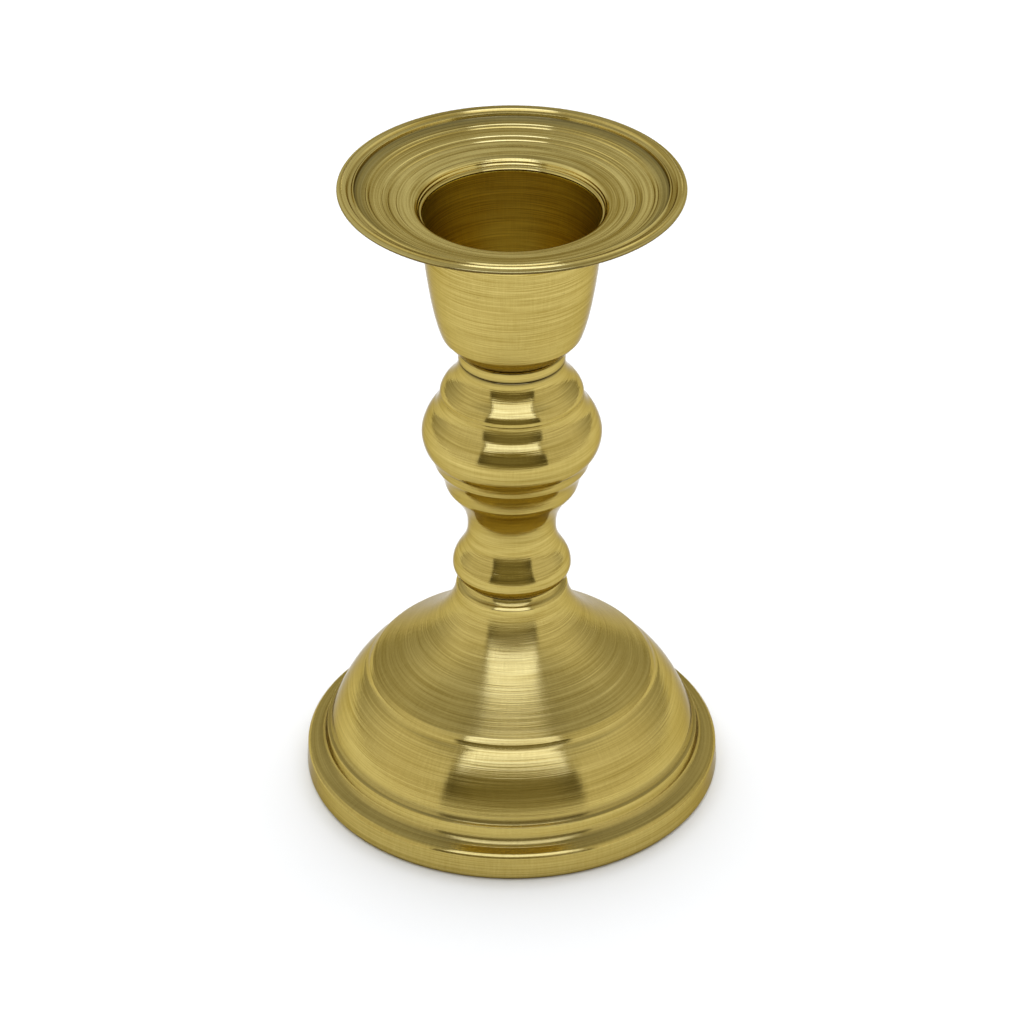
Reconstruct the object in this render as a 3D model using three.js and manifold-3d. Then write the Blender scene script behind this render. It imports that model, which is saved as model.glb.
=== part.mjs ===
// Taper candlestick of turned brass. A hollow foot, a baluster stem, a collar ring, a candle cup
// and a drip pan stand on one axis, and a threaded tie rod with washers and a nut clamps them.
// Millimetres, +Z up, origin on the table under the axis.
import * as THREE from 'three';
import Module from 'manifold-3d';
import { mergeVertices } from 'three/addons/utils/BufferGeometryUtils.js';

// Driving dimensions: all turned pieces
const facets = 40;              // flat strips round each turned piece
const rodFacets = 20;
const fitGap = 0.15;            // radial clearance of a spigot or rod in its hole
const endGap = 0.3;             // clearance past the end of a spigot
const jointBevel = 0.18;        // small bevel that shows as a dark line at each joint

// Driving dimensions: foot, from the table upwards
const footRadius = 31.9;        // widest, at the upright face of the rim
const footHeight = 34.3;        // table to the joint with the stem
const footWall = 2.0;
const rimFaceHeight = 3.85;
const rimDraft = 0.2;           // the face leans in by this much
const rimRoundWidth = 0.5;      // rounded top edge of the rim
const rimRoundHeight = 0.57;
const rimTopWidth = 1.95;       // nearly flat top of the rim
const rimTopRise = 0.56;
const filletWidth = 0.33;       // small hollow where the flat top meets the band
const filletRise = 0.42;
const bandHeight = 1.95;        // upright band under the dome
const bandTaper = 0.35;
const shelfWidth = 0.45;        // from the band in to the cove
const shelfRise = 0.18;
const coveInset = 0.43;         // small cove at the foot of the dome
const coveHeight = 1.02;
const domeHeight = 8.1;
const domeInset = 4.97;
const domeCrown = 0.53;         // how far the dome stands proud of a straight cone
const stepHeight = 1.07;        // hollow riser between the dome and the flare
const stepInset = 0.85;
const stepEdgeWidth = 0.55;     // edge on top of the riser
const stepEdgeRise = 0.64;
const neckRadius = 8.55;        // top of the flare
const neckRingDrop = 1.8;       // from the joint down to the sharp ring of the neck
const neckCoveHeight = 1.1;     // small cove above that ring
const neckTopRadius = 7.4;      // foot at the joint
const hubHeight = 22;           // underside of the hub, where the washer bears
const hubRadius = 10.6;

// Driving dimensions: stem, from its own lower face upwards
const stemHeight = 38.15;
const stemFootRadius = 7.5;
const knopRadius = 8.96;        // lower swelling
const knopHeight = 2.2;
const waistRadius = 6.67;
const waistHeight = 9.2;
const lowBeadRadius = 9.85;     // sharp lower edge of the lower bead
const lowBeadHeight = 16.4;
const lowBeadDepth = 2.35;
const lowBeadTaper = 0.75;      // the lower bead widens upwards by this much
const highBeadRadius = 11.66;
const highBeadHeight = 20.7;
const highBeadDepth = 1.8;
const highBeadTaper = 0.62;
const bulbRadius = 13.44;
const bulbHeight = 25.6;
const bulbTurnRadius = 11.69;     // where the bulb turns hollow, under the shoulder
const bulbTurnHeight = 29.73;
const bulbTurnLean = 38.8;        // degrees from upright at that place
const shoulderRadius = 10.64;   // bead under the collar, above the bulb
const shoulderHeight = 32.3;
const shoulderDepth = 1.5;
const shoulderTaper = 0.62;     // the shoulder draws in to its upper edge
const stemTopRadius = 7.85;
const spigotRadius = 5.0;
const footSpigot = 2.0;         // length below the stem, into the foot
const cupSpigot = 2.85;         // length above the stem, through the ring into the cup

// Driving dimensions: collar ring and candle cup
const ringRadius = 7.96;
const ringHeight = 1.7;
const cupHeight = 22.22;        // joint to the upper edge
const cupWall = 0.9;
const cupMouthRadius = 13.53;   // outside, at the upper edge
const cupEdgeWall = 0.5;        // thinner at the very edge
const cupBaseRadius = 10.5;     // outside, above the rounded bottom corner
const cupBaseHeight = 3.2;
const cupCornerRadius = 9.9;    // outside, under the rounded corner
const cupCornerHeight = 2.3;
const cupUndersideRadius = 7.7; // outside, at the joint
const cupBelly = 0.62;          // how far the hollow swells past a straight cone
const cupFloorHeight = 3.6;     // joint to the floor of the cup

// Driving dimensions: drip pan, heights from the upper edge of the cup
const panRadius = 25.2;
const panWall = 0.8;
const panHeight = 4.88;         // cup edge to the top of the rim's bead
const edgeHeight = 4.33;        // cup edge to the widest place of the rim
const edgeUnder = 0.33;         // depth of the rounding under that place
const edgeBevel = 0.19;         // upright part of the edge above that place
const beadOuterInset = 0.64;    // outer edge to the bead's outer side
const beadTopInset = 0.86;      // outer edge to the top of the bead
const beadInnerInset = 1.32;     // outer edge to the bead's inner side
const beadInnerDrop = 0.2;
const rimHollowHeight = 4.27;       // hollow band between the bead and the crest
const crestInset = 2.33;        // outer edge to the inner crest
const crestWidth = 0.13;
const crestRise = 0.22;         // inner crest above the hollow band
const crestWallDrop = 0.51;     // from the crest down to the dish
const dishEdgeRadius = 21.05;   // where the straight dish begins
const dishEdgeHeight = 3.45;
const throatRadius = 13.0;      // smallest opening
const throatRound = 1.6;        // width of the throat's rounded lip
const throatHeight = 1.83;      // cup edge to the start of that lip
const collarDepth = 2.3;        // collar outside the cup's edge
const collarWall = 0.65;

// Driving dimensions: tie rod and hardware
const rodRadius = 3.0;
const rodBelowNut = 2.0;        // thread that shows under the nut
const rodTopInset = 0.5;        // rod end below the floor of the cup
const washerRadius = 7.0;
const washerThickness = 1.2;
const lockWasherRadius = 5.4;
const lockWasherThickness = 1.5;
const lockWasherSlit = 1.0;
const nutAcrossFlats = 10;
const nutThickness = 5;
const nutChamfer = 0.5;

// Places along the axis, worked out from the sizes
const stemBase = footHeight;
const ringBase = stemBase + stemHeight;
const cupBase = ringBase + ringHeight;
const cupTop = cupBase + cupHeight;
const boreRadius = rodRadius + fitGap;
const socketRadius = spigotRadius + fitGap;
const washerBase = hubHeight - washerThickness;
const lockWasherBase = washerBase - lockWasherThickness;
const nutBase = lockWasherBase - nutThickness;
const rodBase = nutBase - rodBelowNut;
const rodTop = cupBase + cupFloorHeight - rodTopInset;

const wasm = await Module();
wasm.setup();

// A turned outline of radius and height. It runs up the outside and down the inside of a piece,
// so that the material is always on the left of the line.
class Outline {
  constructor(radius, height) {
    this.points = [new THREE.Vector2(radius, height)];
  }

  get end() {
    return this.points[this.points.length - 1];
  }

  line(radius, height) {
    this.points.push(new THREE.Vector2(radius, height));
    return this;
  }

  // A round stretch that stands proud of its chord by rise, or is hollowed by a negative rise.
  bow(radius, height, rise, steps = 3) {
    const start = this.end;
    const stop = new THREE.Vector2(radius, height);
    const out = new THREE.Vector2(stop.y - start.y, start.x - stop.x).normalize();
    const pull = start.clone().add(stop).multiplyScalar(0.5).addScaledVector(out, 2 * rise);
    this.points.push(...new THREE.QuadraticBezierCurve(start, pull, stop).getPoints(steps).slice(1));
    return this;
  }

  // A flowing stretch. It leaves along the direction away by a share leave of the chord, and
  // arrives along the direction towards by a share arrive.
  flow(radius, height, away, leave, towards, arrive, steps = 8) {
    const start = this.end;
    const stop = new THREE.Vector2(radius, height);
    const chord = start.distanceTo(stop);
    const first = start.clone().addScaledVector(direction(away), chord * leave);
    const second = stop.clone().addScaledVector(direction(towards), -chord * arrive);
    const curve = new THREE.CubicBezierCurve(start, first, second, stop);
    this.points.push(...curve.getPoints(steps).slice(1));
    return this;
  }

  // The closed outline, turned round the axis.
  turn(around = facets) {
    const ring = [...this.points, this.points[0].clone()];
    return new THREE.LatheGeometry(ring, around).rotateX(Math.PI / 2);
  }
}

// Unit vector in the outline's plane, in degrees from straight up, positive outwards.
function direction(degrees) {
  const angle = THREE.MathUtils.degToRad(degrees);
  return new THREE.Vector2(Math.sin(angle), Math.cos(angle));
}

function piece(name, geometry, colour, roughness, metalness = 1) {
  const material = new THREE.MeshStandardMaterial({ color: colour, roughness, metalness });
  const mesh = new THREE.Mesh(geometry, material);
  mesh.name = name;
  return mesh;
}

const brass = 0xb59b4e;
const darkBrass = 0x8f7434;
const steel = 0x9c9c98;

// Foot: rim, band, dome, step and flare outside; hollow inside up to the hub.
function footGeometry() {
  const rimTop = footRadius - rimDraft - rimRoundWidth;
  const rimInner = rimTop - rimTopWidth;
  const band = rimInner - filletWidth;
  const bandTop = band - bandTaper;
  const shelf = bandTop - shelfWidth;
  const domeFoot = shelf - coveInset;
  const domeTop = domeFoot - domeInset;
  const stepTop = domeTop - stepInset;
  const flareFoot = stepTop - stepEdgeWidth;
  const rimTopHeight = rimFaceHeight + rimRoundHeight;
  const rimInnerHeight = rimTopHeight + rimTopRise;
  const bandBase = rimInnerHeight + filletRise;
  const shelfHeight = bandBase + bandHeight + shelfRise;
  const domeBase = shelfHeight + coveHeight;
  const domeTopHeight = domeBase + domeHeight;
  const stepTopHeight = domeTopHeight + stepHeight;
  const ringHeightOnNeck = footHeight - neckRingDrop;
  const cavity = rimTop - footWall;
  const toeRound = 0.45;

  return new Outline(cavity, 0)
    .line(footRadius - toeRound, 0)
    .bow(footRadius, 2 * toeRound, 0.1, 2)
    .line(footRadius - rimDraft, rimFaceHeight)
    .bow(rimTop, rimTopHeight, 0.04, 3)
    .line(rimInner, rimInnerHeight)
    .bow(band, bandBase, -0.05, 2)
    .bow(bandTop, bandBase + bandHeight, 0.06, 2)
    .line(shelf, shelfHeight)
    .bow(domeFoot, domeBase, -0.07, 2)
    .bow(domeTop, domeTopHeight, domeCrown, 7)
    .bow(stepTop, stepTopHeight, -0.09, 2)
    .line(flareFoot, stepTopHeight + stepEdgeRise)
    .flow(neckRadius, ringHeightOnNeck - 0.2, -53.2, 0.22, -9, 0.34, 9)
    .line(neckRadius - 0.1, ringHeightOnNeck + 0.35)
    .line(neckRadius - 0.4, footHeight - neckCoveHeight)
    .bow(neckTopRadius, footHeight - jointBevel, -0.14, 3)
    .line(neckTopRadius - jointBevel, footHeight)
    .line(socketRadius, footHeight)
    .line(socketRadius, footHeight - footSpigot - endGap)
    .line(boreRadius, footHeight - footSpigot - endGap)
    .line(boreRadius, hubHeight)
    .line(hubRadius, hubHeight)
    .bow(stepTop - footWall, domeTopHeight - 0.2 * footWall, 0.4, 3)
    .bow(shelf - footWall, shelfHeight - 0.2 * footWall, -domeCrown, 4)
    .line(cavity, rimFaceHeight)
    .turn();
}

// Stem: knop, waist, two beads, bulb and shoulder, with a spigot at each end and a bore through.
function stemGeometry() {
  const lowBeadTop = lowBeadHeight + lowBeadDepth;
  const highBeadTop = highBeadHeight + highBeadDepth;
  const highBeadEdge = highBeadRadius + highBeadTaper;
  const shoulderTop = shoulderHeight + shoulderDepth;

  const outline = new Outline(spigotRadius, 0)
    .line(stemFootRadius - jointBevel, 0)
    .line(stemFootRadius, jointBevel)
    .bow(knopRadius, knopHeight, 0.33, 4)
    .flow(waistRadius, waistHeight, 0, 0.35, 0, 0.52, 7)
    .flow(lowBeadRadius, lowBeadHeight, 0, 0.45, 36, 0.29, 6)
    .line(lowBeadRadius + 0.2, lowBeadHeight + 0.5)
    .bow(lowBeadRadius + lowBeadTaper, lowBeadTop, -0.03, 2)
    .bow(highBeadRadius, highBeadHeight, -0.08, 2)
    .bow(highBeadEdge, highBeadTop, -0.04, 2)
    .line(highBeadEdge + 0.12, highBeadTop + 0.2)
    .flow(bulbRadius, bulbHeight, 52, 0.32, 0, 0.22, 5)
    .flow(bulbTurnRadius, bulbTurnHeight, 0, 0.2, -bulbTurnLean, 0.46, 6)
    .flow(shoulderRadius + 0.02, shoulderHeight - 0.1, -bulbTurnLean, 0.3, -13, 0.3, 4)
    .line(shoulderRadius - 0.03, shoulderHeight)
    .flow(shoulderRadius - shoulderTaper, shoulderTop, 41, 0.21, -50, 0.21, 4)
    .flow(stemTopRadius, stemHeight - jointBevel, -33.5, 0.18, -4.8, 0.51, 6)
    .line(stemTopRadius - jointBevel, stemHeight)
    .line(spigotRadius, stemHeight)
    .line(spigotRadius, stemHeight + cupSpigot)
    .line(boreRadius, stemHeight + cupSpigot)
    .line(boreRadius, -footSpigot)
    .line(spigotRadius, -footSpigot);
  return outline.turn();
}

// Collar ring: a plain hoop with bevelled edges, threaded on the stem's upper spigot.
function ringGeometry() {
  return new Outline(socketRadius, 0)
    .line(ringRadius - jointBevel, 0)
    .line(ringRadius, jointBevel)
    .line(ringRadius, ringHeight - jointBevel)
    .line(ringRadius - jointBevel, ringHeight)
    .line(socketRadius, ringHeight)
    .turn();
}

// Candle cup: a tapering thimble with a thick floor, which the rod is screwed into.
function cupGeometry() {
  const socketDepth = cupSpigot - ringHeight + endGap;
  const heel = cupBaseRadius - cupWall - 0.6;
  return new Outline(socketRadius, 0)
    .line(cupUndersideRadius - jointBevel, 0)
    .line(cupUndersideRadius, jointBevel)
    .bow(cupCornerRadius, cupCornerHeight, 0.17, 3)
    .line(cupBaseRadius - 0.1, cupBaseHeight - 0.4)
    .flow(cupMouthRadius, cupHeight, 21.6, 0.19, 5.5, 0.48, 7)
    .line(cupMouthRadius - cupEdgeWall, cupHeight)
    .bow(cupBaseRadius - cupWall + 0.25, cupFloorHeight + 1.8, -cupBelly, 6)
    .bow(heel - 1.2, cupFloorHeight, -0.35, 3)
    .line(boreRadius, cupFloorHeight)
    .line(boreRadius, socketDepth)
    .line(socketRadius, socketDepth)
    .turn();
}

// Drip pan: a dished plate whose rim carries an outer edge, a bead and an inner crest, with a
// rounded throat. Its collar slips over the cup, and its seat rests on the cup's edge.
function panGeometry() {
  const collarInner = cupMouthRadius + fitGap;
  const collarOuter = collarInner + collarWall;
  const beadOuter = panRadius - beadOuterInset;
  const beadInner = panRadius - beadInnerInset;
  const crest = panRadius - crestInset;
  const crestHeight = rimHollowHeight + crestRise;
  const wallFoot = crest - crestWidth - 0.16;
  const throatOuter = throatRadius + throatRound;
  const underThroat = throatHeight - panWall + 0.3;
  return new Outline(collarInner, -collarDepth)
    .line(collarOuter, -collarDepth)
    .line(collarOuter, underThroat - 0.9)
    .bow(collarOuter + 1.5, underThroat, -0.25, 3)
    .line(dishEdgeRadius + 1.35, dishEdgeHeight - 0.45)
    .line(panRadius - 0.32, edgeHeight - edgeUnder)
    .bow(panRadius, edgeHeight, 0.1, 3)
    .line(panRadius - 0.1, edgeHeight + edgeBevel)
    .line(beadOuter, panHeight - 0.24)
    .line(panRadius - beadTopInset, panHeight)
    .line(beadInner, panHeight - beadInnerDrop)
    .line(beadInner - 0.28, rimHollowHeight + 0.06)
    .line(crest + 0.23, rimHollowHeight)
    .line(crest, crestHeight)
    .line(crest - crestWidth, crestHeight + 0.01)
    .line(wallFoot, crestHeight - crestWallDrop)
    .bow(dishEdgeRadius, dishEdgeHeight, -0.13, 3)
    .line(throatOuter, throatHeight)
    .bow(throatRadius + 0.72, throatHeight - 0.58, 0.04, 3)
    .line(throatRadius + 0.32, throatHeight - 1.28)
    .line(throatRadius, 0.24)
    .line(throatRadius, 0)
    .line(collarInner, 0)
    .turn();
}

// Tie rod: plain cylinder at the thread's outer size, with bevelled ends.
function rodGeometry() {
  const length = rodTop - rodBase;
  const bevel = 0.5;
  const outline = [
    new THREE.Vector2(0, 0),
    new THREE.Vector2(rodRadius - bevel, 0),
    new THREE.Vector2(rodRadius, bevel),
    new THREE.Vector2(rodRadius, length - bevel),
    new THREE.Vector2(rodRadius - bevel, length),
    new THREE.Vector2(0, length),
  ];
  return new THREE.LatheGeometry(outline, rodFacets).rotateX(Math.PI / 2);
}

function washerGeometry() {
  return new Outline(boreRadius, 0)
    .line(washerRadius, 0)
    .line(washerRadius, washerThickness)
    .line(boreRadius, washerThickness)
    .turn(rodFacets);
}

// Lock washer: a flat ring with one slit, as it lies when the nut is tight.
function lockWasherGeometry() {
  const inner = boreRadius + fitGap;
  const halfOuter = Math.asin(lockWasherSlit / 2 / lockWasherRadius);
  const halfInner = Math.asin(lockWasherSlit / 2 / inner);
  const shape = new THREE.Shape();
  shape.absarc(0, 0, lockWasherRadius, halfOuter, 2 * Math.PI - halfOuter, false);
  shape.absarc(0, 0, inner, 2 * Math.PI - halfInner, halfInner, true);
  shape.closePath();
  const settings = { depth: lockWasherThickness, bevelEnabled: false, curveSegments: rodFacets };
  return new THREE.ExtrudeGeometry(shape, settings);
}

function solidFrom(geometry) {
  const bare = geometry.clone();
  bare.deleteAttribute('normal');
  bare.deleteAttribute('uv');
  const merged = mergeVertices(bare, 1e-5);
  return new wasm.Manifold(new wasm.Mesh({
    numProp: 3,
    vertProperties: new Float32Array(merged.attributes.position.array),
    triVerts: new Uint32Array(merged.index.array),
  }));
}

function geometryFrom(solid) {
  const mesh = solid.getMesh();
  const geometry = new THREE.BufferGeometry();
  geometry.setAttribute('position', new THREE.BufferAttribute(mesh.vertProperties, mesh.numProp));
  geometry.setIndex(new THREE.BufferAttribute(mesh.triVerts, 1));
  geometry.computeVertexNormals();
  return geometry;
}

// Hexagon nut: a six-sided prism with its hole, its corners turned off at both ends.
function nutGeometry() {
  const cornerRadius = nutAcrossFlats / Math.sqrt(3);
  const hexagon = new THREE.Shape();
  for (let i = 0; i < 6; i += 1) {
    const angle = (i + 0.5) * Math.PI / 3;
    const [x, y] = [cornerRadius * Math.cos(angle), cornerRadius * Math.sin(angle)];
    if (i === 0) hexagon.moveTo(x, y);
    else hexagon.lineTo(x, y);
  }
  hexagon.closePath();
  const prism = new THREE.ExtrudeGeometry(hexagon, { depth: nutThickness, bevelEnabled: false });
  const turned = new Outline(boreRadius, 0)
    .line(cornerRadius - 2 * nutChamfer, 0)
    .line(cornerRadius + 0.2, nutChamfer + 0.2)
    .line(cornerRadius + 0.2, nutThickness - nutChamfer - 0.2)
    .line(cornerRadius - 2 * nutChamfer, nutThickness)
    .line(boreRadius, nutThickness)
    .turn();
  return geometryFrom(solidFrom(prism).intersect(solidFrom(turned)));
}

const candlestick = new THREE.Group();
candlestick.name = 'taper_candlestick';

const layout = [
  ['foot', footGeometry(), brass, 0.32, 0],
  ['stem', stemGeometry(), brass, 0.32, stemBase],
  ['collar_ring', ringGeometry(), brass, 0.32, ringBase],
  ['candle_cup', cupGeometry(), brass, 0.34, cupBase],
  ['drip_pan', panGeometry(), brass, 0.3, cupTop],
  ['tie_rod', rodGeometry(), steel, 0.4, rodBase],
  ['flat_washer', washerGeometry(), darkBrass, 0.4, washerBase],
  ['lock_washer', lockWasherGeometry(), steel, 0.45, lockWasherBase],
  ['hex_nut', nutGeometry(), darkBrass, 0.4, nutBase],
];

for (const [name, geometry, colour, roughness, height] of layout) {
  const mesh = piece(name, geometry, colour, roughness);
  mesh.position.z = height;
  candlestick.add(mesh);
}

export default candlestick;
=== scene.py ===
# Taper candlestick in turned brass: fine turned surfaces, tool-marked metal, white floor,
# light and camera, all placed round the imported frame. Shapes are written in millimetres.
import math

import bpy
import numpy as np
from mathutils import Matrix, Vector


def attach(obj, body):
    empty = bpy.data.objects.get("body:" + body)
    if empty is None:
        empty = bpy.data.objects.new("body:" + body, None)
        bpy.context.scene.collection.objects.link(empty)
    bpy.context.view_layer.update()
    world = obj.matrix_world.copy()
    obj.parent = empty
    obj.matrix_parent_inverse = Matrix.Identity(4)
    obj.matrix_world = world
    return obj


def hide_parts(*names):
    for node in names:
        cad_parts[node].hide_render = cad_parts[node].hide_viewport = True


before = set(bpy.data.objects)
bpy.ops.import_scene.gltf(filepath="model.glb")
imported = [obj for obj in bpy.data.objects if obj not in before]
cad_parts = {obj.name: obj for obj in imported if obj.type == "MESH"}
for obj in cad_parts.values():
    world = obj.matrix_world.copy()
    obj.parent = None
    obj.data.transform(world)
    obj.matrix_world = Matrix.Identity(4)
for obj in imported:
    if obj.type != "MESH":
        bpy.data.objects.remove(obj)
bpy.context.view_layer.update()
print("frame loaded, nodes:", ", ".join(sorted(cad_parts)))

toMetres = 0.001

# How finely the surfaces are divided
steps = {
    "around": 200,  # round a turned piece, which keeps each under 200,000 triangles
    "curve": 65,  # along one stretch while it is worked out
    "least": 3,  # rows on the shortest stretch
    "corner": 4,  # rows round a corner between two stretches
    "cornerShare": 0.4,  # a rounded corner takes at most this much of a stretch
    "hiddenSpacing": 3,  # rows lie this many times wider apart where nothing shows
    "rod": 40, "rowsPerPitch": 9, "nut": 144, "washer": 96, "washerCorner": 5,
}

# Where time and the tool show on a turned outline, and where shade is painted in its hollows
wear = {
    "bendStep": 0.05, "bendReach": 0.5, "bendGain": 0.9,  # dirt and painted shade in hollows, rubbed edges
    "jointReach": 0.22,  # dark line where two pieces meet
    "steep": 0.2, "steepWaves": 0.3,  # upright sides take this share of the tool's waves
}


# Outlines

def towards(degrees):
    # unit vector in the outline's plane: straight up turned outwards by the angle
    angle = math.radians(degrees)
    return np.array([math.sin(angle), math.cos(angle)])


def stretchCurve(start, stretch):
    # line: start + t * (end - start)
    # bow: quadratic curve whose middle stands off its chord by rise
    # flow: cubic curve that leaves and arrives along given angles
    kind, radius, height, *rest = stretch
    end = np.array([radius, height], float)
    chord = np.hypot(*(end - start))
    t = np.linspace(0, 1, steps["curve"])[:, None]
    if kind == "line":
        return start + t * (end - start)
    if kind == "bow":
        rise, = rest
        outward = np.array([end[1] - start[1], start[0] - end[0]]) / chord
        pull = (start + end) / 2 + outward * 2 * rise
        return (1 - t) ** 2 * start + 2 * t * (1 - t) * pull + t ** 2 * end
    away, leave, arriveAt, arrive = rest
    first = start + towards(away) * chord * leave
    second = end - towards(arriveAt) * chord * arrive
    return ((1 - t) ** 3 * start + 3 * (1 - t) ** 2 * t * first
            + 3 * (1 - t) * t ** 2 * second + t ** 3 * end)


def lengthsAlong(points):
    return np.concatenate([[0], np.cumsum(np.hypot(*np.diff(points, axis=0).T))])


def atLengths(points, lengths):
    along = lengthsAlong(points)
    return np.stack([np.interp(lengths, along, points[:, k]) for k in (0, 1)], 1)


def outlineOf(shape):
    # each stretch is sampled evenly, and every corner between two stretches is rounded by a
    # quadratic curve that starts and ends up to `corner` away from it; each row carries marks:
    # rough inside, matte, and the painted warm reflection inside the cup
    curves = []
    start = np.array(shape["start"], float)
    for stretch in shape["stretches"]:
        curves.append(stretchCurve(start, stretch))
        start = curves[-1][-1]
    cuts = [min(shape["corner"], steps["cornerShare"] * lengthsAlong(curve)[-1]) for curve in curves]
    cuts.append(0)
    points = []
    marks = {"rough": [], "matte": [], "paintedInnerReflection": []}

    def addRows(rows, values):
        points.append(rows)
        for label, value in zip(marks, values):
            marks[label].append(np.full(len(rows), float(value)))

    for i, curve in enumerate(curves):
        rough = i >= shape.get("roughFrom", len(curves))
        matte = i in shape.get("matte", ())
        paintedInnerReflection = i in shape.get("paintedInnerReflection", ())
        begin = min(cuts[i - 1], cuts[i]) if i else 0
        finish = lengthsAlong(curve)[-1] - min(cuts[i], cuts[i + 1])
        spacing = shape["spacing"] * (steps["hiddenSpacing"] if rough else 1)
        count = max(steps["least"], int((finish - begin) / spacing) + 1)
        body = atLengths(curve, np.linspace(begin, finish, count))
        if i:
            before = points[-1][-1]
            t = np.linspace(0, 1, steps["corner"] + 2)[1:-1, None]
            turn = (1 - t) ** 2 * before + 2 * t * (1 - t) * curve[0] + t ** 2 * body[0]
            addRows(turn, (rough, min(matte, marks["matte"][-1][-1]), paintedInnerReflection))
        addRows(body, (rough, matte, paintedInnerReflection))
    return np.concatenate(points), {label: np.concatenate(parts) for label, parts in marks.items()}


def eased(t):
    return t * t * (3 - 2 * t)


def smoothNoise(lengths, scale, seed):
    # seeded values every `scale` mm along the outline, joined by a smooth curve
    place = lengths / scale
    k = place.astype(int)
    randoms = np.random.default_rng(seed).uniform(-1, 1, k.max() + 2)
    t = eased(place - k)
    return randoms[k] * (1 - t) + randoms[k + 1] * t


def outlineSlope(points):
    # outward normal of the outline, from central differences
    step = np.gradient(points, axis=0)
    normal = np.stack([step[:, 1], -step[:, 0]], 1)
    return normal / np.hypot(*normal.T)[:, None]


def outlineBend(points):
    # turning of the outline's heading, smoothed over bendReach: above 0 in a hollow, below 0
    # on an edge
    lengths = lengthsAlong(points)
    even = np.arange(0, lengths[-1], wear["bendStep"])
    step = np.gradient(atLengths(points, even), axis=0)
    heading = np.unwrap(np.arctan2(step[:, 0], step[:, 1]))
    window = np.hanning(2 * int(wear["bendReach"] / wear["bendStep"]) + 1)
    bend = np.convolve(np.gradient(heading), window, mode="same")
    return np.interp(lengths, even, bend) * wear["bendGain"]


def strongest(points, spots):
    # greatest of amount * exp(-(distance / reach) ** 2) over the spots
    strength = np.zeros(len(points))
    for *place, reach, amount in spots:
        distance = np.hypot(*(points - place).T)
        strength = np.maximum(strength, amount * np.exp(-(distance / reach) ** 2))
    return strength


# Meshes

def inScene(name, data):
    piece = bpy.data.objects.new(name, data)
    bpy.context.scene.collection.objects.link(piece)
    return piece


def meshFrom(name, vertices, faces, attributes=None):
    # smooth, but for faces of more than four corners, which are cut ends
    mesh = bpy.data.meshes.new(name)
    mesh.from_pydata((vertices * toMetres).tolist(), [], faces)
    mesh.validate()
    corners = np.empty(len(mesh.polygons), np.int32)
    mesh.polygons.foreach_get("loop_total", corners)
    mesh.polygons.foreach_set("use_smooth", corners <= 4)
    for label, values in (attributes or {}).items():
        layer = mesh.attributes.new(label, "FLOAT", "POINT")
        layer.data.foreach_set("value", values.astype(np.float32))
    mesh.update()
    return inScene(name, mesh)


def gridQuads(rows, columns, closeRows, closeColumns):
    # quads of a grid whose point (i, j) has the number i * columns + j
    i = np.arange(rows if closeRows else rows - 1)[:, None]
    j = np.arange(columns if closeColumns else columns - 1)[None, :]
    below, right = (i + 1) % rows, (j + 1) % columns
    corners = [i * columns + j, i * columns + right, below * columns + right, below * columns + j]
    return np.stack([np.broadcast_to(c, (i.size, j.size)) for c in corners], -1).reshape(-1, 4).tolist()


def fullTurn(count):
    return np.linspace(0, 2 * math.pi, count, endpoint=False)


def roundAxis(radius, height, angle):
    # point (s, a) = (radius * cos a, radius * sin a, height)
    x, y = radius * np.cos(angle), radius * np.sin(angle)
    return np.stack([x, y, np.broadcast_to(height, x.shape)], -1).reshape(-1, 3)


def turnedPiece(name, shape, base):
    # the outline, with the small waves that the tool leaves, carried round the axis:
    # point (s, a) = (radius(s) * cos a, radius(s) * sin a, height(s) + base)
    points, marks = outlineOf(shape)
    lengths = lengthsAlong(points)
    outward = outlineSlope(points)
    waves = sum(depth * smoothNoise(lengths, scale, shape["seed"] + k)
                for k, (scale, depth) in enumerate(shape["chatter"]))
    waves *= np.interp(np.abs(outward[:, 1]), [0, wear["steep"]], [wear["steepWaves"], 1])
    shaped = points + outward * (waves * (1 - marks["rough"]))[:, None]
    bend = outlineBend(points)
    # hollows darken the colour as dirt and as painted shade, and roughen it; edges only get smoother
    marks["hollowDirtAndShade"] = np.clip(bend, 0, 1)
    marks["shine"] = np.clip(-bend, 0, 1)
    marks["joint"] = strongest(points, [(*place, wear["jointReach"], 1) for place in shape["joints"]])
    # shade spots paint shade into recesses and along the joins
    marks["shade"] = strongest(points, shape["shades"])
    attributes = {label: np.repeat(values, steps["around"]) for label, values in marks.items()}
    vertices = roundAxis(shaped[:, :1], shaped[:, 1:] + base, fullTurn(steps["around"]))
    return meshFrom(name, vertices, gridQuads(len(points), steps["around"], True, True), attributes)


# Sizes that several pieces share, as the frame has them
stack = {"stem": 34.3, "ring": 72.45, "cup": 74.15, "pan": 96.37, "hub": 22.0}
hole = {"socket": 5.15, "bore": 3.15, "spigot": 5.0}
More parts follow.
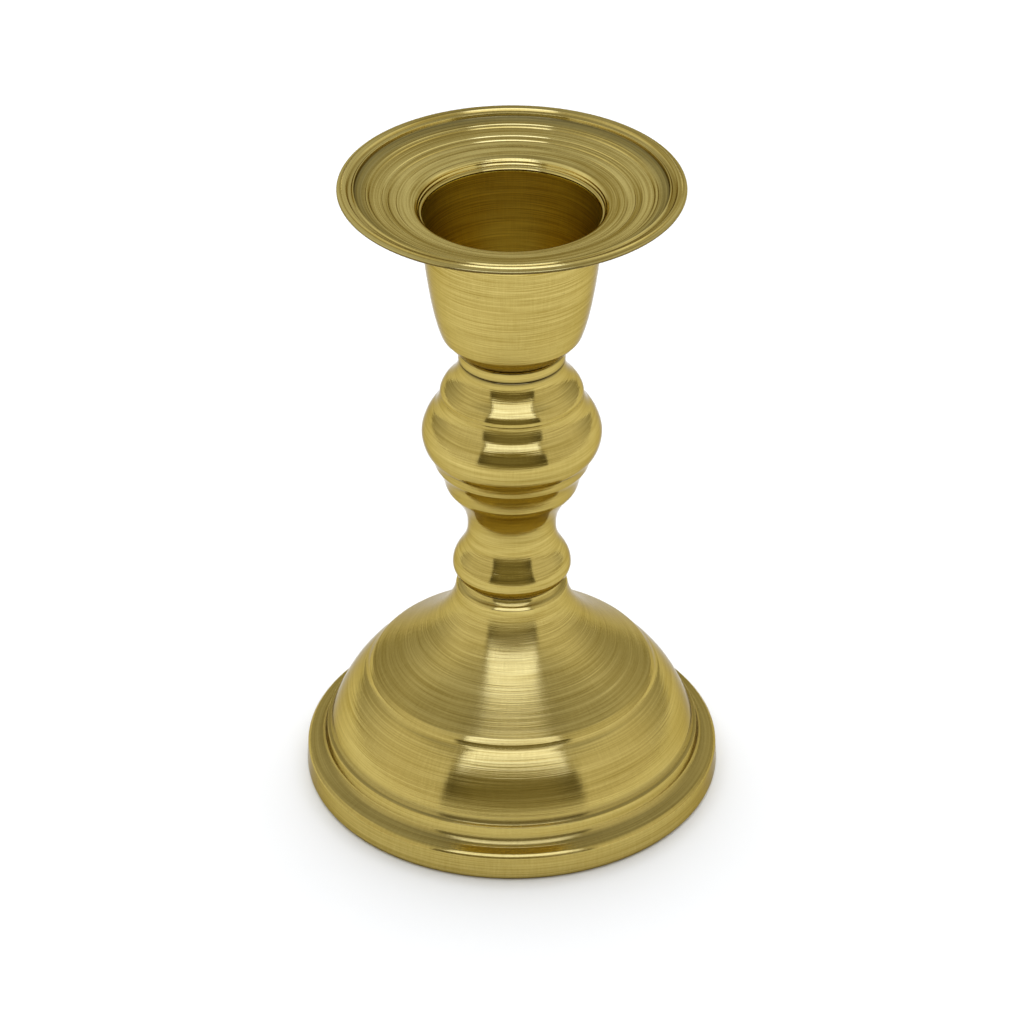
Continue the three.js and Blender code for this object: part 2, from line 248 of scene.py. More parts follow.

# A shape's stretches are (kind, radius, height) with a bow's rise or a flow's angles and
# reaches. Joints are (radius, height), shades are spots of painted shade (radius, height, reach,
# amount) and chatter is (length of the waves, depth). roughFrom, matte and the painted inner
# reflection of the cup count stretches from 0.

# Foot: up the outside from the flat rim, then down the unpolished inside
footShape = {
    "start": (29.2, 0.0), "corner": 0.08, "spacing": 0.2, "seed": 11,
    "roughFrom": 18, "matte": (13,),
    "joints": [(7.22, 34.3)],
    "shades": [(29.3, 5.1, 0.75, 0.35), (27.95, 8.0, 0.6, 0.5)],
    "chatter": [(1.6, 0.005), (0.7, 0.003)],
    "stretches": [
        ("line", 31.45, 0.0),
        ("bow", 31.9, 0.9, 0.1),
        ("line", 31.7, 3.85),
        ("bow", 31.2, 4.42, 0.04),
        ("line", 30.0, 4.7),
        ("line", 29.95, 4.74),
        ("bow", 28.92, 5.74, -0.16),
        ("bow", 28.6, 7.35, 0.03),
        ("line", 28.15, 7.53),
        ("bow", 27.72, 8.55, -0.07),
        ("bow", 22.75, 16.65, 0.53),
        ("bow", 21.9, 17.72, -0.09),
        ("line", 21.35, 18.36),
        ("flow", 8.55, 32.3, -53.2, 0.22, -9, 0.34),
        ("line", 8.45, 32.85),
        ("line", 8.15, 33.2),
        ("bow", 7.4, 34.12, -0.14),
        ("line", 7.22, 34.3),
        ("line", hole["socket"], 34.3),
        ("line", hole["socket"], 32.0),
        ("line", hole["bore"], 32.0),
        ("line", hole["bore"], stack["hub"]),
        ("line", 10.6, stack["hub"]),
        ("bow", 19.9, 16.25, 0.4),
        ("bow", 26.15, 7.13, -0.53),
        ("line", 29.2, 3.85),
        ("line", 29.2, 0.0),
    ],
}

# Stem: knop, waist, two sharp beads, bulb, shoulder bead, hollow top
stemShape = {
    "start": (hole["spigot"], 0.0), "corner": 0.08, "spacing": 0.17, "seed": 23,
    "roughFrom": 18,
    "joints": [(7.32, 0.0), (7.67, 38.15)],
    "shades": [(7.75, 37.95, 0.3, 0.8)],
    "chatter": [(1.3, 0.004), (0.6, 0.0025)],
    "stretches": [
        ("line", 7.32, 0.0),
        ("line", 7.5, 0.18),
        ("bow", 8.96, 2.2, 0.33),
        ("flow", 6.67, 9.2, 0, 0.35, 0, 0.52),
        ("flow", 9.85, 16.4, 0, 0.45, 36, 0.29),
        ("line", 10.05, 16.9),
        ("bow", 10.6, 18.75, -0.03),
        ("bow", 11.66, 20.7, -0.08),
        ("bow", 12.28, 22.5, -0.04),
        ("line", 12.4, 22.7),
        ("flow", 13.44, 25.6, 52, 0.32, 0, 0.22),
        ("flow", 11.69, 29.73, 0, 0.2, -38.8, 0.46),
        ("flow", 10.66, 32.2, -38.8, 0.3, -13, 0.3),
        ("line", 10.61, 32.3),
        ("flow", 10.02, 33.8, 41, 0.18, -42, 0.32),
        ("flow", 7.85, 37.97, -33.5, 0.18, -4.8, 0.51),
        ("line", 7.67, 38.15),
        ("line", hole["spigot"], 38.15),
        ("line", hole["spigot"], 41.0),
        ("line", hole["bore"], 41.0),
        ("line", hole["bore"], -2.0),
        ("line", hole["spigot"], -2.0),
        ("line", hole["spigot"], 0.0),
    ],
}

# Collar ring: a plain hoop with bevelled edges
ringShape = {
    "start": (hole["socket"], 0.0), "corner": 0.05, "spacing": 0.12, "seed": 31,
    "joints": [(7.78, 0.0)],
    "shades": [(7.9, 0.1, 0.3, 0.9), (7.9, 1.65, 0.15, 0.8)],
    "chatter": [(0.5, 0.0015)],
    "stretches": [
        ("line", 7.78, 0.0),
        ("line", 7.96, 0.18),
        ("line", 7.96, 1.52),
        ("line", 7.78, 1.7),
        ("line", hole["socket"], 1.7),
        ("line", hole["socket"], 0.0),
    ],
}

# Candle cup: up the outside, over the edge, down the tapering hollow to the floor
cupShape = {
    "start": (hole["socket"], 0.0), "corner": 0.15, "spacing": 0.2, "seed": 43,
    # the inside stretches take the painted warm reflection of the cup's own walls
    "matte": (6, 7), "paintedInnerReflection": (6, 7, 8, 9),
    "joints": [],
    "shades": [],
    "chatter": [(1.8, 0.003), (0.6, 0.0012)],
    "stretches": [
        ("line", 7.52, 0.0),
        ("line", 7.7, 0.18),
        ("bow", 9.9, 2.3, 0.17),
        ("line", 10.4, 2.8),
        ("flow", 13.53, 22.22, 21.6, 0.19, 5.5, 0.48),
        ("line", 13.03, 22.22),
        ("bow", 9.85, 5.4, -0.62),
        ("bow", 7.8, 3.6, -0.35),
        ("line", hole["bore"], 3.6),
        ("line", hole["bore"], 1.45),
        ("line", hole["socket"], 1.45),
        ("line", hole["socket"], 0.0),
    ],
}

# Drip pan: collar, underside, rim, stepped dish, throat, seat on the cup's edge
panShape = {
    "start": (13.68, -2.3), "corner": 0.05, "spacing": 0.12, "seed": 57,
    "matte": (15, 17, 19, 21, 23, 25),
    # the joint on the rim's lower outer edge joins nothing: it paints a dark shadow line under the rim
    "joints": [(25.2, 4.26), (13.0, 0.0)],
    "shades": [(22.5, 3.95, 0.4, 0.8), (21.9, 3.66, 0.5, 0.55), (21.4, 3.55, 0.4, 0.3)],
    "chatter": [(1.3, 0.014), (0.5, 0.009)],
    "stretches": [
        ("line", 14.33, -2.3),
        ("line", 14.33, 0.25),
        ("bow", 15.83, 1.15, -0.25),
        ("line", 22.4, 3.05),
        ("line", 24.88, 4.0),
        ("bow", 25.2, 4.33, 0.08),
        ("bow", 25.1, 4.52, 0.02),
        ("line", 24.56, 4.64),
        ("line", 24.34, 4.88),
        ("line", 23.88, 4.68),
        ("line", 23.6, 4.33),
        ("line", 23.1, 4.25),
        ("line", 22.87, 4.49),
        ("line", 22.74, 4.5),
        ("line", 22.6, 3.98),
        ("bow", 21.1, 3.56, -0.13),
        ("line", 20.96, 3.39),
        ("line", 20.62, 3.36),
        ("line", 20.44, 3.15),
        ("line", 18.74, 2.86),
        ("line", 18.62, 2.71),
        ("line", 17.86, 2.58),
        ("line", 17.72, 2.41),
        ("line", 16.7, 2.25),
        ("line", 16.58, 2.13),
        ("line", 14.6, 1.83),
        ("bow", 14.0, 1.52, 0.03),
        ("line", 13.72, 1.25),
        ("line", 13.61, 0.96),
        ("line", 13.47, 0.82),
        ("line", 13.39, 0.52),
        ("line", 13.12, 0.4),
        ("line", 13.0, 0.24),
        ("line", 13.0, 0.0),
        ("line", 13.68, 0.0),
        ("line", 13.68, -2.3),
    ],
}

foot = turnedPiece("turned_foot", footShape, 0.0)
stem = turnedPiece("turned_stem", stemShape, stack["stem"])
ring = turnedPiece("turned_collar_ring", ringShape, stack["ring"])
cup = turnedPiece("turned_candle_cup", cupShape, stack["cup"])
pan = turnedPiece("turned_drip_pan", panShape, stack["pan"])
print("turned pieces made:", [len(p.data.polygons) for p in (foot, stem, ring, cup, pan)])


# Hardware under the foot: flat washer against the hub, lock washer, nut, end of the rod

# soft rounds the edges, slit is the gap in the split ring
washerSize = {"inner": hole["bore"], "outer": 7.0, "height": 1.2, "soft": 0.2}
lockSize = {"inner": 3.3, "outer": 5.4, "height": 1.5, "soft": 0.15, "slit": 1.0}
# trim rounds the hexagon's corners, rows are heights above each end, edge breaks the ends
nutSize = {"flats": 10.0, "height": 5.0, "hole": hole["bore"], "bevel": 0.5, "trim": 0.12,
           "rows": (0, 0.03, 0.1, 0.2, 0.3, 0.4, 0.5, 0.65, 0.8), "coneSlope": 1.75,
           "edge": 0.06, "edgeSlope": 0.6, "holeBevel": 0.35}
# the rod's end shows below the nut, and its top is screwed into the cup's floor; crest and
# flank shape the thread's rounded saw
rodSize = {"radius": 3.0, "end": 2.0, "top": stack["cup"] + 3.1, "pitch": 1.0, "depth": 0.55,
           "bevel": 0.5, "crest": 1.35, "flank": 2.9}

washerSize["bottom"] = stack["hub"] - washerSize["height"]
lockSize["bottom"] = washerSize["bottom"] - lockSize["height"]
nutSize["bottom"] = lockSize["bottom"] - nutSize["height"]
rodSize["bottom"] = nutSize["bottom"] - rodSize["end"]


def threadedRod(size):
    # radius(z, a) = outer radius minus thread depth times a rounded saw of z / pitch - a / turn,
    # and less again at both bevelled ends, which a fan of triangles closes
    rows = int((size["top"] - size["bottom"]) / size["pitch"] * steps["rowsPerPitch"])
    columns = steps["rod"]
    z = np.linspace(size["bottom"], size["top"], rows)[:, None]
    angle = fullTurn(columns)[None, :]
    phase = (z / size["pitch"] - angle / (2 * math.pi)) % 1
    groove = np.clip(size["crest"] - size["flank"] * np.abs(phase - 0.5), 0, 1)
    ends = np.minimum(z - size["bottom"], size["top"] - z)
    shrink = np.clip(size["bevel"] - ends, 0, None)
    radius = np.minimum(size["radius"] - size["depth"] * groove, size["radius"] - shrink)
    poles = np.array([[0, 0, size["bottom"]], [0, 0, size["top"]]])
    vertices = np.concatenate([roundAxis(radius, z, angle), poles])
    faces = gridQuads(rows, columns, False, True)
    last = rows * columns
    for k in range(columns):
        after = (k + 1) % columns
        faces.append([last, after, k])
        faces.append([last + 1, last - columns + k, last - columns + after])
    return meshFrom("threaded_tie_rod", vertices, faces)


def hexNut(size):
    # outer radius(a, z) = hexagon radius at angle a, held inside a cone at both ends;
    # the loop runs up the outside and down the hole
    angle = fullTurn(steps["nut"])[None, :]
    fold = (angle % (math.pi / 3)) - math.pi / 6
    corner = size["flats"] / math.sqrt(3)
    hexagon = np.minimum(size["flats"] / 2 / np.cos(fold), corner - size["trim"])
    rise = np.array(size["rows"])
    up = np.concatenate([rise, size["height"] - rise[::-1]])[:, None]
    fromEnd = np.minimum(up, size["height"] - up)
    cone = corner - 2 * size["bevel"] + fromEnd * size["coneSlope"]
    outer = np.minimum(hexagon, cone) - np.clip(size["edge"] - fromEnd, 0, None) * size["edgeSlope"]
    mouth = size["holeBevel"]
    inner = size["hole"] + np.array([mouth, 0, 0, mouth])[:, None]
    innerUp = np.array([size["height"], size["height"] - mouth, mouth, 0])[:, None]
    radius = np.concatenate([outer, np.broadcast_to(inner, (len(inner), angle.size))])
    height = np.concatenate([up, innerUp]) + size["bottom"]
    vertices = roundAxis(radius, height, angle)
    return meshFrom("bevelled_hex_nut", vertices, gridQuads(len(radius), angle.size, True, True))


def washerPiece(name, size):
    # a rounded rectangle of radius and height carried round the axis; with a slit the path
    # stops short and both ends are closed
    soft, low, high = size["soft"], size["bottom"], size["bottom"] + size["height"]
    t = np.linspace(0, math.pi / 2, steps["washerCorner"])
    corners = [(size["outer"] - soft, low + soft, -90), (size["outer"] - soft, high - soft, 0),
               (size["inner"] + soft, high - soft, 90), (size["inner"] + soft, low + soft, 180)]
    loop = np.concatenate([np.stack([r + soft * np.cos(t + math.radians(turn)),
                                     z + soft * np.sin(t + math.radians(turn))], 1)
                           for r, z, turn in corners])
    slit = "slit" in size
    if slit:
        half = math.asin(size["slit"] / 2 / size["outer"])
        angle = np.linspace(half, 2 * math.pi - half, steps["washer"] + 1)
    else:
        angle = fullTurn(steps["washer"])
    columns = len(angle)
    faces = gridQuads(len(loop), columns, True, not slit)
    if slit:
        faces.append([i * columns for i in range(len(loop))])
        faces.append([i * columns + columns - 1 for i in reversed(range(len(loop)))])
    return meshFrom(name, roundAxis(loop[:, :1], loop[:, 1:], angle), faces)


rod = threadedRod(rodSize)
nut = hexNut(nutSize)
washer = washerPiece("stamped_flat_washer", washerSize)
lockWasher = washerPiece("split_lock_washer", lockSize)
print("hardware made")


# Metals

def setSocket(tree, socket, value):
    if hasattr(value, "is_output"):
        tree.links.new(value, socket)
    else:
        socket.default_value = value


def addNode(tree, kind, values=None, **settings):
    node = tree.nodes.new(kind)
    for key, value in settings.items():
        setattr(node, key, value)
    for key, value in (values or {}).items():
        setSocket(tree, node.inputs[key], value)
    return node


def calc(tree, operation, *values):
    return addNode(tree, "ShaderNodeMath", dict(enumerate(values)), operation=operation).outputs[0]


def times(tree, first, second):
    return calc(tree, "MULTIPLY", first, second)


def timesPlus(tree, first, second, added):
    return calc(tree, "MULTIPLY_ADD", first, second, added)


def ramp(tree, value, low, high, toLow=0.0, toHigh=1.0, smooth=True):
    node = addNode(tree, "ShaderNodeMapRange",
                   {"Value": value, "From Min": low, "From Max": high, "To Min": toLow, "To Max": toHigh},
                   interpolation_type="SMOOTHSTEP" if smooth else "LINEAR")
    return node.outputs["Result"]


def mixNumber(tree, amount, first, second):
    return addNode(tree, "ShaderNodeMix", {0: amount, 2: first, 3: second}, data_type="FLOAT").outputs[0]


def mixColour(tree, amount, first, second, blend="MIX"):
    node = addNode(tree, "ShaderNodeMix", data_type="RGBA", blend_type=blend)
    for number, value in ((0, amount), (6, first), (7, second)):
        setSocket(tree, node.inputs[number], value)
    return node.outputs[2]


def noiseOf(tree, place, scale, detail, roughness):
    return addNode(tree, "ShaderNodeTexNoise", {
        "Vector": place, "Scale": scale, "Detail": detail, "Roughness": roughness}).outputs[0]


def emptyMaterial(name):
    material = bpy.data.materials.new(name)
    material.use_nodes = True
    material.node_tree.nodes.clear()
    return material, material.node_tree


brassLook = {
    # colours
    "tone": (0.64, 0.51, 0.165, 1), "toneDeep": (0.3, 0.21, 0.036, 1),
    # the dark hollow tone stands for dirt and for painted shade in the hollows; scratches use it too
    "toneWarm": (0.47, 0.345, 0.085, 1), "toneDirtAndShade": (0.16, 0.10, 0.02, 1),
    "toneInside": (0.33, 0.235, 0.075, 1), "toneJoint": (0.05, 0.03, 0.008, 1),
    # the last tone multiplies the cup's inside: a painted warm reflection of its own walls
    "toneShade": (0.2, 0.15, 0.045, 1), "tonePaintedInnerReflection": (1.04, 0.92, 0.25, 1),
    "edgeTint": (0.6, 0.55, 0.45, 1),
    # tool lines: pitch in mm, wander round the piece, depth in mm, swing of the colour
    "finePitch": 0.19, "fineWander": 1.1, "fineDepth": 0.017, "fineTint": 1.5,
    "middlePitch": 0.55, "middleWander": 0.35, "middleDepth": 0.03, "middleTint": 0.8,
    "broadPitch": 2.2, "broadWander": 0.4, "broadDepth": 0.02, "broadTint": 0.5,
    "grainPitch": 110.0, "grainLength": 350.0, "grainDepth": 0.002, "grainTint": 0.4,
    "scratchPitch": 0.22, "scratchWander": 9.0, "scratchFrom": 0.78, "scratchDepth": -0.01,
    "scratchFade": 0.04, "scratchTint": 0.6, "lineRoughness": 0.68, "lineZone": 0.45,
    # clouds, dirt with painted shade in the hollows, and the unpolished inside
    "cloudScale": 45.0, "cloudTint": 0.35, "cloudRough": 0.02, "hollowDirtAndShadeTint": 0.2,
    "jointTint": 0.95, "insideTint": 0.75, "pitScale": 900.0, "pitDepth": 0.12,
    # finish
    "drawn": 0.78, "roughLow": 0.11, "roughHigh": 0.16, "grimeRough": 0.12, "shineRough": -0.04,
    "insideRough": 0.22, "matteRough": 0.2, "matteDepth": 0.0,
}
stemLook = {**brassLook, "fineDepth": 0.011, "roughLow": 0.07, "roughHigh": 0.11, "drawn": 0.6}
footLook = {**brassLook, "matteRough": 0.06}
cupLook = {
    **brassLook, "finePitch": 0.1, "fineWander": 1.05, "fineDepth": 0.019, "fineTint": 2.5,
    "middlePitch": 0.3, "middleWander": 0.5, "middleDepth": 0.006, "middleTint": 0.5,
    "broadDepth": 0.006, "broadTint": 0.3, "grainTint": 0.5, "scratchFrom": 0.75,
}
panLook = {
    **brassLook, "tone": (0.86, 0.71, 0.25, 1), "toneDeep": (0.42, 0.3, 0.06, 1),
    "toneWarm": (0.6, 0.48, 0.16, 1), "toneShade": (0.2, 0.165, 0.06, 1),
    "fineTint": 2.6, "middlePitch": 0.6, "middleTint": 3.2, "broadTint": 1.2,
    "matteRough": 0.12, "matteDepth": 0.13,
}


def brassMarks(tree, look, place, axis):
    # tool lines follow circles round the axis: noise of (radius, height) with a slow part of
    # the angle, at four pitches
    z, radius, cosine, sine = axis

    def lines(kind, detail, shift):
        perPitch = 1 / toMetres / look[kind + "Pitch"]
        wander = look[kind + "Wander"]
        vector = addNode(tree, "ShaderNodeCombineXYZ", {
            0: times(tree, radius, perPitch), 1: timesPlus(tree, z, perPitch, shift),
            2: times(tree, cosine, wander)})
        return addNode(tree, "ShaderNodeTexNoise", {
            "Vector": vector.outputs[0], "W": times(tree, sine, wander), "Scale": 1.0,
            "Detail": detail, "Roughness": look["lineRoughness"]}, noise_dimensions="4D").outputs[0]

    marks = {label: addNode(tree, "ShaderNodeAttribute", attribute_name=label).outputs["Fac"]
             for label in ("hollowDirtAndShade", "shine", "rough", "matte", "joint", "shade", "paintedInnerReflection")}
    marks["fine"] = lines("fine", detail=2.0, shift=3.7)
    marks["middle"] = lines("middle", detail=3.0, shift=11.3)
    marks["broad"] = lines("broad", detail=2.0, shift=29.1)

    # dark drawn-out scratches, few and short
    scratchFull = look["scratchFrom"] + look["scratchFade"]
    scratchLines = lines("scratch", detail=1.0, shift=47.9)
    marks["scratch"] = ramp(tree, scratchLines, look["scratchFrom"], scratchFull)

    # short streaks across the circles, left by rubbing along the profile
    along = times(tree, calc(tree, "SUBTRACT", z, radius), look["grainLength"])
    grainPlace = addNode(tree, "ShaderNodeCombineXYZ", {
        0: times(tree, cosine, look["grainPitch"]), 1: times(tree, sine, look["grainPitch"]),
        2: along}).outputs[0]
    marks["grain"] = noiseOf(tree, grainPlace, scale=1.0, detail=2.0, roughness=0.6)

    # creased circles: the fold of the middle noise is a crisp line, stronger in some zones
    folded = calc(tree, "ABSOLUTE", calc(tree, "SUBTRACT", marks["middle"], 0.5))
    zone = ramp(tree, marks["broad"], low=0.35, high=0.65, toLow=look["lineZone"])
    marks["crease"] = times(tree, folded, zone)
    marks["cloud"] = noiseOf(tree, place, scale=look["cloudScale"], detail=3.0, roughness=0.55)
    marks["pits"] = noiseOf(tree, place, scale=look["pitScale"], detail=2.0, roughness=0.6)
    return marks


def brassColour(tree, look, marks):
    # the lines swing the colour between a deep and a light tone; clouds, dirt with painted shade in
    # the hollows, scratches, spots of painted shade and joints lie over it
    swing = 0.5
    for kind in ("fine", "middle", "broad", "grain"):
        swing = timesPlus(tree, calc(tree, "SUBTRACT", marks[kind], 0.5), look[kind + "Tint"], swing)
    swing = ramp(tree, swing, low=0.0, high=1.0, smooth=False)
    toned = mixColour(tree, swing, look["toneDeep"], look["tone"])
    clouded = ramp(tree, marks["cloud"], low=0.42, high=0.7, toHigh=look["cloudTint"])
    layers = [
        (clouded, "toneWarm"),
        # in the hollows: dirt and painted shade
        (times(tree, marks["hollowDirtAndShade"], look["hollowDirtAndShadeTint"]), "toneDirtAndShade"),
        (times(tree, marks["scratch"], look["scratchTint"]), "toneDirtAndShade"),
        (marks["shade"], "toneShade"),
        (times(tree, marks["joint"], look["jointTint"]), "toneJoint"),
    ]
    for amount, tone in layers:
        toned = mixColour(tree, amount, toned, look[tone])
    # painted warm reflection: the cup's inside is multiplied by a warmer, less blue tone
    toned = mixColour(tree, marks["paintedInnerReflection"], toned, look["tonePaintedInnerReflection"], "MULTIPLY")
    return mixColour(tree, times(tree, marks["rough"], look["insideTint"]), toned, look["toneInside"])


def brassGloss(tree, look, marks):
    gloss = ramp(tree, marks["fine"], low=0.25, high=0.75, toLow=look["roughLow"],
                 toHigh=look["roughHigh"], smooth=False)
    gloss = timesPlus(tree, ramp(tree, marks["cloud"], low=0.35, high=0.7), look["cloudRough"], gloss)
    for mark, amount in (("hollowDirtAndShade", "grimeRough"), ("shine", "shineRough"), ("rough", "insideRough"),
                         ("matte", "matteRough")):
        gloss = timesPlus(tree, marks[mark], look[amount], gloss)
    return gloss


def brassHeight(tree, look, marks):
    # height in mm; matte stretches are creased more deeply
    spun = timesPlus(tree, marks["matte"], look["matteDepth"], look["middleDepth"])
    height = times(tree, marks["fine"], look["fineDepth"])
    for mark, depth in ((marks["crease"], spun), (marks["grain"], look["grainDepth"]),
                        (marks["broad"], look["broadDepth"]), (marks["scratch"], look["scratchDepth"]),
                        (times(tree, marks["pits"], marks["rough"]), look["pitDepth"])):
        height = timesPlus(tree, mark, depth, height)
    return height


def turnedBrass(name, look):
    # the same marks move colour, roughness and bump together; the brushing runs round the axis
    metal, tree = emptyMaterial(name)
    place = addNode(tree, "ShaderNodeTexCoord").outputs["Object"]
    x, y, z = addNode(tree, "ShaderNodeSeparateXYZ", {0: place}).outputs
    radius = calc(tree, "SQRT", timesPlus(tree, x, x, times(tree, y, y)))
    aboveZero = calc(tree, "MAXIMUM", radius, 1e-5)
    cosine = calc(tree, "DIVIDE", x, aboveZero)
    sine = calc(tree, "DIVIDE", y, aboveZero)
    marks = brassMarks(tree, look, place, (z, radius, cosine, sine))
    bump = addNode(tree, "ShaderNodeBump", {
        "Strength": 1.0, "Distance": toMetres, "Height": brassHeight(tree, look, marks)})
    tangent = addNode(tree, "ShaderNodeCombineXYZ", {0: times(tree, sine, -1.0), 1: cosine, 2: 0.0})
    shader = addNode(tree, "ShaderNodeBsdfPrincipled", {
        "Base Color": brassColour(tree, look, marks), "Roughness": brassGloss(tree, look, marks),
        "Normal": bump.outputs[0], "Tangent": tangent.outputs[0], "Metallic": 1.0,
        "Anisotropic": look["drawn"], "Anisotropic Rotation": 0.25, "Specular Tint": look["edgeTint"]})
    addNode(tree, "ShaderNodeOutputMaterial", {"Surface": shader.outputs[0]})
    return metal


def plainMetal(name, look):
    # stamped or plated metal: clouds in colour and roughness, small pits in the bump
    metal, tree = emptyMaterial(name)
    place = addNode(tree, "ShaderNodeTexCoord").outputs["Object"]
    cloud = noiseOf(tree, place, scale=look["cloudScale"], detail=4.0, roughness=0.6)
    grain = noiseOf(tree, place, scale=look["grainScale"], detail=3.0, roughness=0.6)
    tone = mixColour(tree, ramp(tree, cloud, low=0.35, high=0.7), look["tone"], look["toneDeep"])
    tone = mixColour(tree, ramp(tree, grain, low=0.55, high=0.8, toHigh=0.4), tone, look["toneDeep"])
    gloss = ramp(tree, cloud, low=0.3, high=0.7, toLow=look["roughLow"], toHigh=look["roughHigh"])
    bump = addNode(tree, "ShaderNodeBump", {
        "Strength": 1.0, "Distance": toMetres, "Height": times(tree, grain, look["pits"])})
    shader = addNode(tree, "ShaderNodeBsdfPrincipled", {
        "Base Color": tone, "Roughness": gloss, "Normal": bump.outputs[0], "Metallic": 1.0})
    addNode(tree, "ShaderNodeOutputMaterial", {"Surface": shader.outputs[0]})
    return metal


stampedLook = {
    "tone": (0.33, 0.235, 0.075, 1), "toneDeep": (0.2, 0.135, 0.04, 1), "cloudScale": 160.0,
    "grainScale": 1400.0, "roughLow": 0.32, "roughHigh": 0.5, "pits": 0.03,
}
platedLook = {
    "tone": (0.42, 0.42, 0.4, 1), "toneDeep": (0.24, 0.235, 0.22, 1), "cloudScale": 200.0,
    "grainScale": 1600.0, "roughLow": 0.28, "roughHigh": 0.46, "pits": 0.02,
}

stemBrass = turnedBrass("stem_brass", stemLook)
footBrass = turnedBrass("foot_brass", footLook)
cupBrass = turnedBrass("cup_brass", cupLook)
panBrass = turnedBrass("pan_brass", panLook)
stampedBrass = plainMetal("stamped_brass", stampedLook)
platedSteel = plainMetal("plated_steel", platedLook)
print("metals made")

# Dress and tie each piece to the frame
dressing = [
    (foot, "foot", "brass", footBrass),
    (stem, "stem", "brass", stemBrass),
    (ring, "collar_ring", "brass", stemBrass),
    (cup, "candle_cup", "cup_brass", cupBrass),
    (pan, "drip_pan", "pan_brass", panBrass),
    (rod, "tie_rod", "plated_steel", platedSteel),
    (washer, "flat_washer", "dull_brass", stampedBrass),
    (lockWasher, "lock_washer", "plated_steel", platedSteel),
    (nut, "hex_nut", "dull_brass", stampedBrass),
]
for piece, node, slotName, metal in dressing:
    piece.data.materials.append(metal)
    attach(piece, "root")
    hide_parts(node)


# Floor, in metres

floorLook = {"half": 4.0, "colour": (0.96, 0.975, 1.0, 1), "roughness": 1.0, "shine": 0.0}


def whiteFloor(look):
    half = look["half"]
    mesh = bpy.data.meshes.new("floor")
    corners = [(-half, -half, 0), (half, -half, 0), (half, half, 0), (-half, half, 0)]
    mesh.from_pydata(corners, [], [(0, 1, 2, 3)])
    paint, tree = emptyMaterial("white_floor")
    shader = addNode(tree, "ShaderNodeBsdfPrincipled", {
        "Base Color": look["colour"], "Roughness": look["roughness"],
        "Specular IOR Level": look["shine"]})
    addNode(tree, "ShaderNodeOutputMaterial", {"Surface": shader.outputs[0]})
    mesh.materials.append(paint)
    return inScene("floor", mesh)


floor = whiteFloor(floorLook)

# Light: a white tent all round, darker overhead and behind. In front stand a dark panel, a
# bright one above it and a dimmer one above that; the panels are seen only in the metal.
tent = {
    # what the metal sees: levels along the horizon, half way up and overhead
    "front": 0.6, "side": 0.96, "back": 0.56,
    "aboveFront": 0.5, "aboveSide": 0.6, "aboveBack": 0.46, "zenith": 0.38,
    # where one level turns into the next
    "frontEdge": (-0.76, -0.7), "backEdge": (-0.1, 0.85), "aboveEdge": (0.55, 0.78),
    "zenithEdge": (0.85, 0.97),
    # what lights the floor: an even level that leans to the back, more from the top
    "floorLevel": 1.13, "floorLean": 1.25, "floorTop": 1.3, "floorWall": -0.45,
    "least": 0.001,  # keeps the straight up direction from dividing by nothing
}


def whiteTent(look):
    world = bpy.data.worlds.new("tent")
    bpy.context.scene.world = world
    world.use_nodes = True
    sky = world.node_tree
    sky.nodes.clear()
    way = addNode(sky, "ShaderNodeTexCoord").outputs["Generated"]
    depthways, upwards = addNode(sky, "ShaderNodeSeparateXYZ", {0: way}).outputs[1:]
    flatness = calc(sky, "SUBTRACT", 1.0, times(sky, upwards, upwards))
    outwards = calc(sky, "MAXIMUM", calc(sky, "SQRT", flatness), look["least"])
    behind = calc(sky, "DIVIDE", depthways, outwards)

    def wallLevel(front, side, back):
        # front to side at the panels' edge, side to back over the rear quarter
        forward = ramp(sky, behind, *look["frontEdge"], front, side)
        rearward = ramp(sky, behind, *look["backEdge"], 0.0, back - side)
        return calc(sky, "ADD", forward, rearward)

    lowWall = wallLevel(look["front"], look["side"], look["back"])
    highWall = wallLevel(look["aboveFront"], look["aboveSide"], look["aboveBack"])
    wall = mixNumber(sky, ramp(sky, upwards, *look["aboveEdge"]), lowWall, highWall)
    wall = mixNumber(sky, ramp(sky, upwards, *look["zenithEdge"]), wall, look["zenith"])
    leaning = timesPlus(sky, depthways, look["floorLean"], look["floorLevel"])
    rising = timesPlus(sky, times(sky, outwards, outwards), look["floorWall"], look["floorTop"])
    onFloor = times(sky, calc(sky, "MAXIMUM", leaning, 0.0), rising)
    path = addNode(sky, "ShaderNodeLightPath")
    strength = mixNumber(sky, path.outputs["Is Diffuse Ray"], 1.0, onFloor)
    strength = mixNumber(sky, path.outputs["Is Glossy Ray"], strength, wall)
    background = addNode(sky, "ShaderNodeBackground", {0: (1, 1, 1, 1), 1: strength})
    addNode(sky, "ShaderNodeOutputWorld", {0: background.outputs[0]})


whiteTent(tent)


def smoothStep(value, low, high):
    return eased(np.clip((value - low) / (high - low), 0, 1))


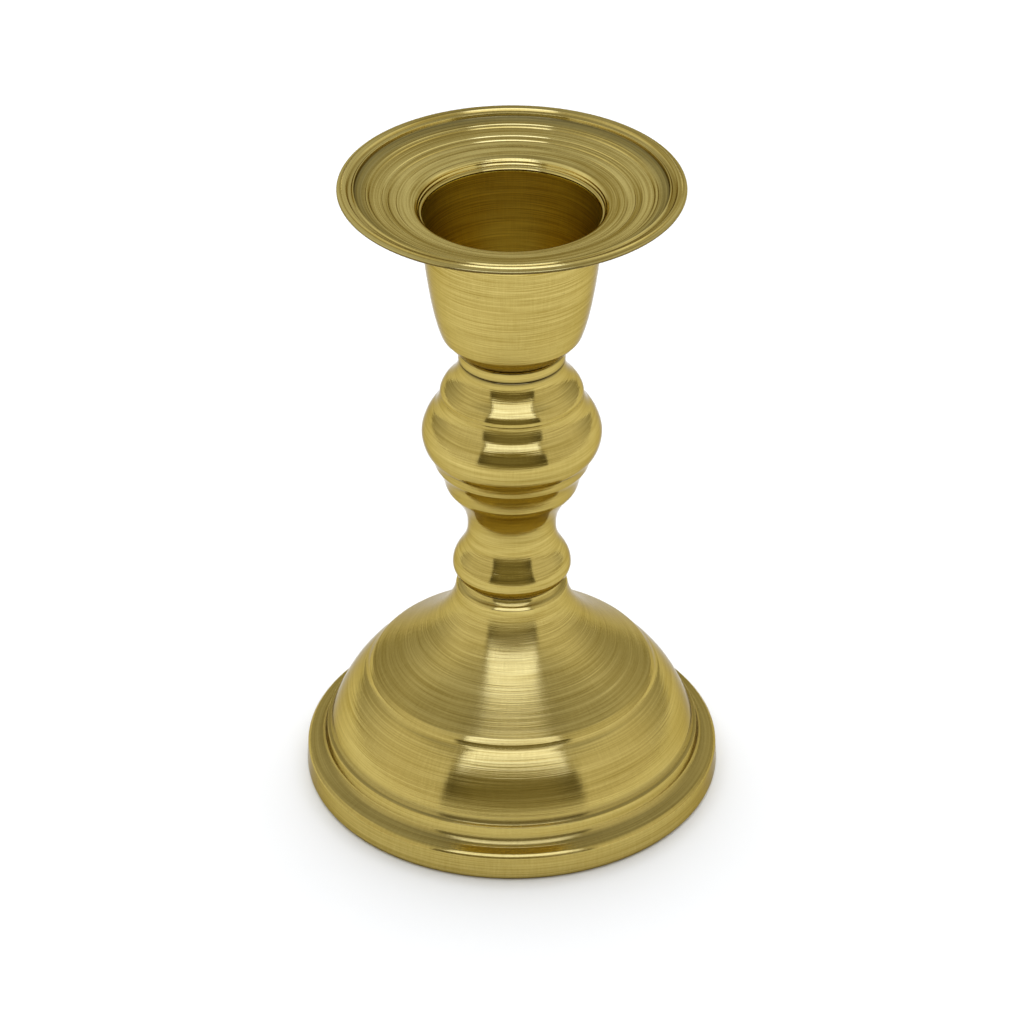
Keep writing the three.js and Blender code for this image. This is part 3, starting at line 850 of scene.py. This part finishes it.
def lightPanel(name, look, levels):
    # upright grid; its brightness is levels(x, z) in millimetres, kept on the points
    x = np.linspace(look["left"], look["right"], look["columns"])[None, :]
    z = np.linspace(look["low"], look["high"], look["rows"])[:, None]
    x, z = np.broadcast_arrays(x, z)
    vertices = np.stack([x, np.full(x.shape, look["front"]), z], -1).reshape(-1, 3)
    quads = gridQuads(look["rows"], look["columns"], False, False)
    panel = meshFrom(name, vertices, quads, {"level": levels(x, z, look).reshape(-1)})
    glow, tree = emptyMaterial(name)
    amount = addNode(tree, "ShaderNodeAttribute", attribute_name="level").outputs["Fac"]
    light = addNode(tree, "ShaderNodeEmission", {0: look["tint"], 1: amount})
    addNode(tree, "ShaderNodeOutputMaterial", {0: light.outputs[0]})
    panel.data.materials.append(glow)
    panel.visible_camera = False
    panel.visible_diffuse = False
    panel.visible_shadow = False
    panel.visible_transmission = False
    panel.visible_volume_scatter = False


darkPanel = {
    "front": -369.0, "left": -322.0, "right": 352.0, "low": 72.0, "high": 325.0,
    "columns": 33, "rows": 19, "tint": (1.1, 1.0, 0.6, 1),
    "level": 0.15, "middle": 0.1, "middleEdge": (120, 330), "top": 0.22, "topFrom": 225,
    "bottom": 0.15, "bottomTo": 120,
}
brightPanel = {
    "front": darkPanel["front"], "left": -297.0, "right": 314.0,
    "low": darkPanel["high"], "high": 860.0, "columns": 9, "rows": 9,
    "tint": (0.97, 1.08, 1.7, 1), "level": 1.9, "rise": 0.25, "riseOver": (380, 700),
}
dimPanel = {
    **brightPanel, "low": brightPanel["high"], "high": 1180.0,
    "tint": (0.98, 1.0, 1.1, 1), "level": 1.25, "rise": -0.4, "riseOver": (860, 1180),
}


def darkLevels(x, z, look):
    # lighter in the middle and towards its lower and upper edges
    middle = look["middle"] * (1 - smoothStep(np.abs(x), *look["middleEdge"]))
    top = look["top"] * smoothStep(z, look["topFrom"], look["high"])
    bottom = look["bottom"] * (1 - smoothStep(z, look["low"], look["bottomTo"]))
    return look["level"] + middle + top + bottom


def risingLevels(x, z, look):
    return look["level"] + look["rise"] * smoothStep(z, *look["riseOver"])


lightPanel("dark_panel", darkPanel, darkLevels)
lightPanel("bright_panel", brightPanel, risingLevels)
lightPanel("dim_panel", dimPanel, risingLevels)
print("floor and light made")

# Camera, in metres
view = {"from": (0.0, -0.53099, 0.38736), "at": (0.0, 0.0, 0.045135), "lens": 147.48,
        "sensor": 36.0, "shift": (0.00014, 0.0005), "nearest": 0.01}
eye = bpy.data.cameras.new("view")
eye.lens = view["lens"]
eye.sensor_width = view["sensor"]
eye.shift_x, eye.shift_y = view["shift"]
eye.clip_start = view["nearest"]
camera = inScene("view", eye)
camera.location = view["from"]
camera.rotation_euler = (Vector(view["at"]) - Vector(view["from"])).to_track_quat("-Z", "Y").to_euler()
bpy.context.scene.camera = camera
bpy.context.scene.view_settings.view_transform = "Standard"
